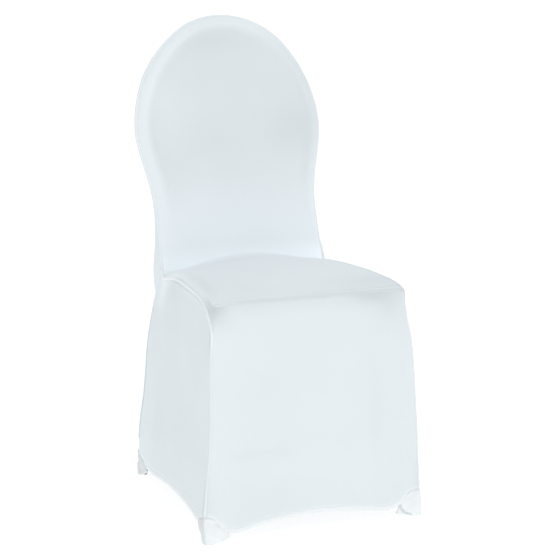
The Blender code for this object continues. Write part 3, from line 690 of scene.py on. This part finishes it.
# Foot pockets: doubled cloth, lapped over the hem and puckered
def makePocket(node):
    piece = subdivide(outerSkin(node), "cover_" + node, smoothLevels["pocket"])
    data = piece.data
    hemPoints = []
    for panel in panels.values():
        hemPoints += loopPoints(panel, [i for i, on in zip(panel["loop"], panel["onSeam"]) if not on])
    near = treeOf(hemPoints)

    def atHem(v):
        return near.find(v.co)[2] < footPocket["lapReach"] and v.co.z > footPocket["lapFloor"]

    mesh = bmesh.new()
    mesh.from_mesh(data)
    mesh.normal_update()
    edge = [e for e in mesh.edges if e.is_boundary and all(atHem(v) for v in e.verts)]
    lapped = bmesh.ops.extrude_edge_only(mesh, edges=edge)
    lapRise, lapUneven = footPocket["lap"]
    for item in lapped["geom"]:
        if isinstance(item, bmesh.types.BMVert):
            p = item.co - frontMiddle
            item.co.z += lapRise + lapUneven * noise.noise(p * 75.0)
    mesh.normal_update()
    turn = 1 if sum(v.normal.dot(v.co - inside) for v in mesh.verts) > 0 else -1
    pucker, finePucker = footPocket["pucker"]
    taperAcross, taperDepth = frontPocket["leftTaper"]
    for v in mesh.verts:
        p = v.co - frontMiddle
        away = min(abs(abs(p.x) - footPocket["middle"]), 0.07)
        drawn = Vector((away * 26.0, p.y * 26.0, (p.z + away * 0.55) * 105.0))
        relief = pucker * noise.noise(drawn) + finePucker * noise.noise(p * 130.0)
        if node == "foot_pocket_front_right":
            relief -= frontPocket["creaseDepth"] * creaseAt(p)
        v.co += v.normal * turn * (footPocket["stand"] + relief * ease((p.z - 0.001) / 0.005))
        if node.startswith("foot_pocket_front"):
            v.co.z += frontPocket["soleLift"] * ease((0.184 - abs(p.x)) / 0.020) * ease((0.016 - p.z) / 0.012)
            tip = frontPocket["tipToHem"] * ease((0.176 - abs(p.x)) / 0.014)
            v.co.z += (near.find(v.co)[0].z + frontPocket["tipGap"] - v.co.z) * tip
        if node == "foot_pocket_front_left":
            low = ease((0.040 - p.z) / 0.038)
            v.co.x += taperAcross * low * ease((-0.185 - p.x) / 0.030)
            v.co.y -= taperDepth * max(p.y - 0.004, 0.0) * low
        v.co.z = max(v.co.z, 0.0)
    mesh.to_mesh(data)
    mesh.free()
    thick = piece.modifiers.new("thick", "SOLIDIFY")
    thick.thickness = footPocket["thickness"]
    thick.offset = -1 if turn > 0 else 1
    bpy.context.view_layer.update()
    shaped = bpy.data.meshes.new_from_object(piece.evaluated_get(bpy.context.evaluated_depsgraph_get()))
    piece.modifiers.clear()
    piece.data = shaped
    for v in shaped.vertices:
        v.co.z = max(v.co.z, 0.0)
    layBand(shaped, footPocket["doubled"])
    tone = shaped.attributes["tone"].data
    # Painted shade on the pockets' sides and in the front right one's crease, over an uneven tone
    for v in shaped.vertices:
        p = v.co - frontMiddle
        mottleAndShade = footPocket["tone"] + footPocket["toneUneven"] * noise.noise(p * 45.0)
        mottleAndShade -= footPocket["sideShade"] * ease((abs(v.normal.x) - 0.5) / 0.4)
        if node == "foot_pocket_front_right":
            mottleAndShade -= frontPocket["creaseShade"] * creaseAt(p)
        tone[v.index].value = mottleAndShade
    shaped.shade_smooth()
    return piece


pocketPieces = {}
for end in ("front", "rear"):
    for side in ("left", "right"):
        node = "foot_pocket_%s_%s" % (end, side)
        pocketPieces[node] = makePocket(node)
print("pockets made")


# Raised seams and turned hems are narrow closed bands along a panel's edge.
# Stretches of the edge that lie on seams, or that don't, as lists of point numbers
def runsOf(loop, on, wanted):
    count = len(loop)
    first = next((i for i in range(count) if (on[i] == wanted) and (on[i - 1] != wanted)), 0)
    runs, run = [], []
    for k in range(count):
        i = (first + k) % count
        if on[i] == wanted:
            run.append(loop[i])
        elif run:
            runs.append(run)
            run = []
    if run:
        runs.append(run)
    return [r for r in runs if len(r) > 3]


# A band along a path. Its profile is (across, up) pairs round a closed section, in metres, and it is
# scaled at each point
def bandMesh(name, path, normals, sides, profile, scales):
    verts, faces = [], []
    n = len(profile)
    for point, normal, across, scale in zip(path, normals, sides, scales):
        verts += [point + across * a * scale + normal * u * scale for a, u in profile]
    for i in range(len(path) - 1):
        for j in range(n):
            k = (j + 1) % n
            faces.append((i * n + j, i * n + k, (i + 1) * n + k, (i + 1) * n + j))
    faces.append(tuple(range(n)))
    faces.append(tuple((len(path) - 1) * n + j for j in reversed(range(n))))
    data = bpy.data.meshes.new(name)
    data.from_pydata(verts, [], faces)
    data.update()
    mesh = bmesh.new()
    mesh.from_mesh(data)
    bmesh.ops.recalc_face_normals(mesh, faces=mesh.faces)
    mesh.to_mesh(data)
    mesh.free()
    data.shade_smooth()
    return data


# A run's points with the cloth's normal and the way into the cloth at each
def pathOf(data, run, turn):
    path = [data.vertices[i].co.copy() for i in run]
    normals = [data.vertices[i].normal * turn for i in run]
    for _ in range(2):
        middle = [(a + b * 2 + c) / 4 for a, b, c in zip(path, path[1:], path[2:])]
        path = [path[0]] + middle + [path[-1]]
    sides = []
    for i, normal in enumerate(normals):
        along = path[min(i + 1, len(path) - 1)] - path[max(i - 1, 0)]
        sides.append(along.cross(normal).normalized())
    return path, normals, sides


def joinInto(piece, datas):
    mesh = bmesh.new()
    mesh.from_mesh(piece.data)
    for data in datas:
        mesh.from_mesh(data)
    mesh.to_mesh(piece.data)
    mesh.free()
    for data in datas:
        bpy.data.meshes.remove(data)


pocketTree = treeOf([v.co.copy() for piece in pocketPieces.values() for v in piece.data.vertices])
for node, panel in panels.items():
    data = panel["piece"].data
    turn = turnOf(data)
    hems = []
    covered = [pocketTree.find(p)[2] < edgeReach["pocket"] for p in loopPoints(panel, panel["loop"])]
    count = len(covered)
    under = range(-hemBand["underPocket"], hemBand["underPocket"] + 1)
    bare = [on or all(covered[(i + k) % count] for k in under) for i, on in enumerate(panel["onSeam"])]
    for run in runsOf(panel["loop"], bare, False):
        path, normals, sides = pathOf(data, run, turn)
        if sum(side.z for side in sides) < 0:
            sides = [-side for side in sides]
        last = len(path) - 1
        scales = [min(1.0, (min(i, last - i) + 1) / hemBand["thinsOver"]) for i in range(len(path))]
        hem = bandMesh(node + "_hem", path, normals, sides, hemBand["profile"], scales)
        layBand(hem, hemBand["doubled"])
        hems.append(hem)
    panel["hems"] = hems

seams = []
joined = {
    "front_panel": ("side_panel_left", "side_panel_right", "rear_panel"),
    "rear_panel": ("side_panel_left", "side_panel_right"),
}
for node, names in joined.items():
    data = panels[node]["piece"].data
    turn = turnOf(data)
    loop = panels[node]["loop"]
    for other in names:
        near = treeOf(loopPoints(panels[other], panels[other]["loop"]))
        touching = [near.find(p)[2] < edgeReach["seam"] for p in loopPoints(panels[node], loop)]
        for run in runsOf(loop, touching, True):
            for end in (0, -1):
                while len(run) > 8 and pocketTree.find(data.vertices[run[end]].co)[2] < edgeReach["pocket"]:
                    run.pop(end)
            path, normals, sides = pathOf(data, run, turn)
            path = [(p + near.find(p)[0]) / 2 for p in path]
            atCorner = node == "front_panel" and other.startswith("side")
            extra = seamBand["cornerFullness"] if atCorner else 0.0
            height = seamBand["cornerHeight"]
            scales = [seamBand["fullness"] + extra * ease((p.z - height) / 0.02) for p in path]
            name = "seam_%s_%s_%d" % (node, other, len(seams))
            seam = bandMesh(name, path, normals, sides, seamBand["profile"], scales)
            layBand(seam, seamBand["doubled"])
            # Painted light and shade on the front's corner seams: darker in the middle, lighter at the top
            # and the foot
            if atCorner:
                middle, top, foot = seamBand["tone"]
                for v, tone in zip(seam.vertices, seam.attributes["tone"].data):
                    z = v.co.z
                    tone.value = middle + top * ease((z - 0.35) / 0.04) + foot * ease((0.12 - z) / 0.07)
            seams.append(seam)
            print("seam", node, other, len(path), "points")

for panel in panels.values():
    joinInto(panel["piece"], panel["hems"])
seamPieces = []
for data in seams:
    piece = bpy.data.objects.new(data.name, data)
    scene.collection.objects.link(piece)
    seamPieces.append(piece)


# Each piece gets its fabric and hangs from the root; the model's own panels and pockets are hidden
for node, panel in panels.items():
    piece = panel["piece"]
    piece.data.materials.clear()
    piece.data.materials.append(panelFabric)
    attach(piece, "root")
    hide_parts(node)
for piece in seamPieces:
    piece.data.materials.append(panelFabric)
    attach(piece, "root")
for node, piece in pocketPieces.items():
    piece.data.materials.clear()
    piece.data.materials.append(pocketFabric)
    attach(piece, "root")
    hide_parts(node)
